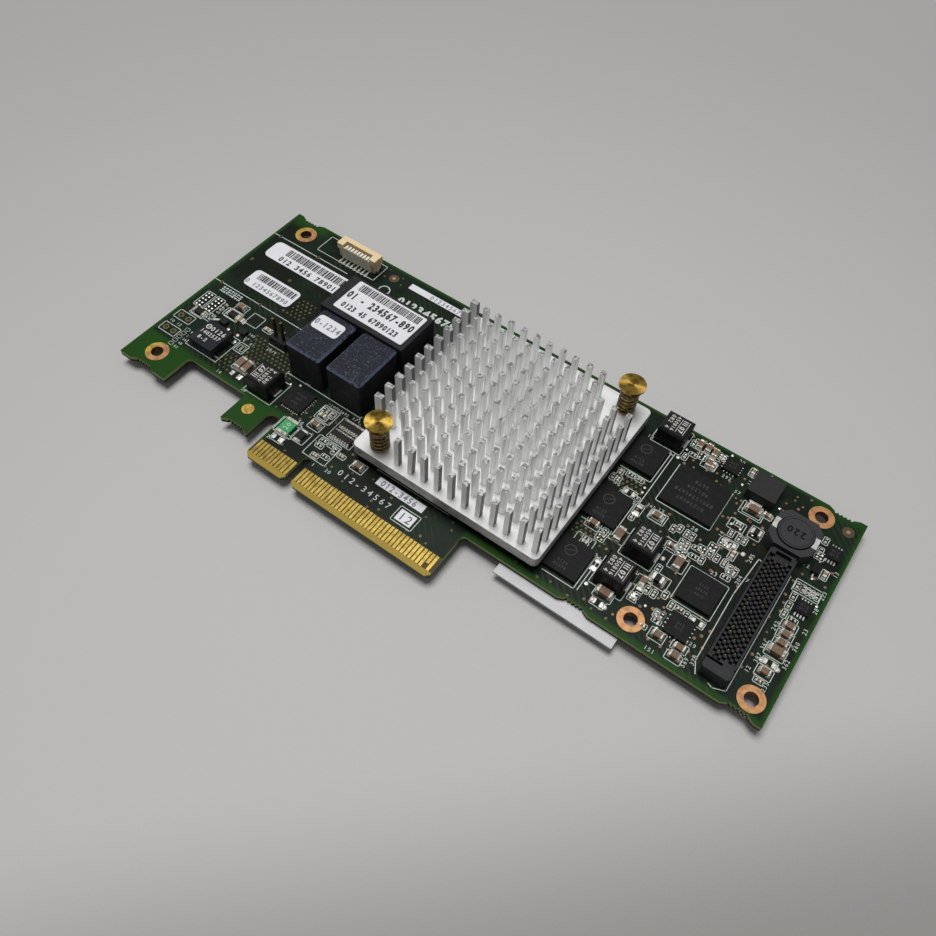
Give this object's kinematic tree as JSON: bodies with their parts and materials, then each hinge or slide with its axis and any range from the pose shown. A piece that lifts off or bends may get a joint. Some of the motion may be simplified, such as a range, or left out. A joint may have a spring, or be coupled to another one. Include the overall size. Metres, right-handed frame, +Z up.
{
  "type": "raid controller card",
  "caption": "Low-profile plug-in storage controller card with an edge connector, a sprung pin-fin heatsink, a double data port and a mezzanine socket, without its bracket.",
  "frame": {"origin": "middle of the board's outline in plan, at the level of the lowest tips under the board", "axes": "+X from the bracket end to the far end, +Y from the edge contacts to the top edge, +Z up from the parts side of the board"},
  "size_m": [0.1676, 0.0688, 0.0184],
  "materials": {
    "board": "dark green solder mask, semi-gloss",
    "gold": "gold plate, satin",
    "copper": "bare copper, satin",
    "aluminium": "satin",
    "thermal_pad": "matt",
    "chip_substrate": "semi-gloss",
    "nickel": "satin nickel",
    "brass": "turned, satin",
    "spring_steel": "dark satin",
    "connector_grey": "speckled, satin",
    "connector_black": "matt",
    "nylon_ivory": "satin",
    "ferrite": "matt",
    "epoxy_black": "matt moulded",
    "ceramic_tan": "matt",
    "ceramic_black": "semi-gloss",
    "tin": "satin tin",
    "fuse_green": "semi-gloss",
    "paper": "satin label stock"
  },
  "bodies": {
    "root": {"barcode_label_long": "paper", "barcode_label_short": "paper", "block_label": "paper", "ceramic_capacitors": "ceramic_tan", "ceramic_resistors": "ceramic_black", "chip_leads": "tin", "choke_bracket": "epoxy_black", "choke_foot": "epoxy_black", "choke_middle": "epoxy_black", "choke_terminals": "tin", "choke_top": "epoxy_black", "circuit_board": "board", "clock_chip": "epoxy_black", "controller_chip": "chip_substrate", "controller_lid": "nickel", "data_port_block_left": "connector_grey", "data_port_block_right": "connector_grey", "data_port_contacts": "gold", "data_port_hood": "connector_black", "data_port_tails": "tin", "data_port_tongues": "connector_black", "edge_contacts_bottom": "gold", "edge_contacts_top": "gold", "eight_lead_chips": "epoxy_black", "fan_header_housing": "nylon_ivory", "fan_header_pins": "tin", "fiducial_pads": "copper", "flash_chip": "epoxy_black", "flat_inductor": "ferrite", "heatsink": "aluminium", "jumper_header_base": "connector_black", "jumper_header_pins": "gold", "label_strip_foot": "paper", "label_strip_top": "paper", "line_transformer": "epoxy_black", "logic_chip": "epoxy_black", "memory_chip_foot": "epoxy_black", "memory_chip_middle": "epoxy_black", "memory_chip_top": "epoxy_black", "mezzanine_contacts": "gold", "mezzanine_socket": "connector_black", "mounting_hole_rings": "copper", "number_label": "paper", "plated_ends": "tin", "port_label": "paper", "power_inductor_clips": "tin", "power_inductor_core": "ferrite", "power_inductor_drum": "ferrite", "push_pin_front": "brass", "push_pin_rear": "brass", "push_pin_spring_front": "spring_steel", "push_pin_spring_rear": "spring_steel", "regulator_chips": "epoxy_black", "resettable_fuse": "fuse_green", "resistor_arrays": "ceramic_black", "thermal_pad": "thermal_pad", "transistor": "epoxy_black", "underside_label": "paper"}
  },
  "joints": []
}
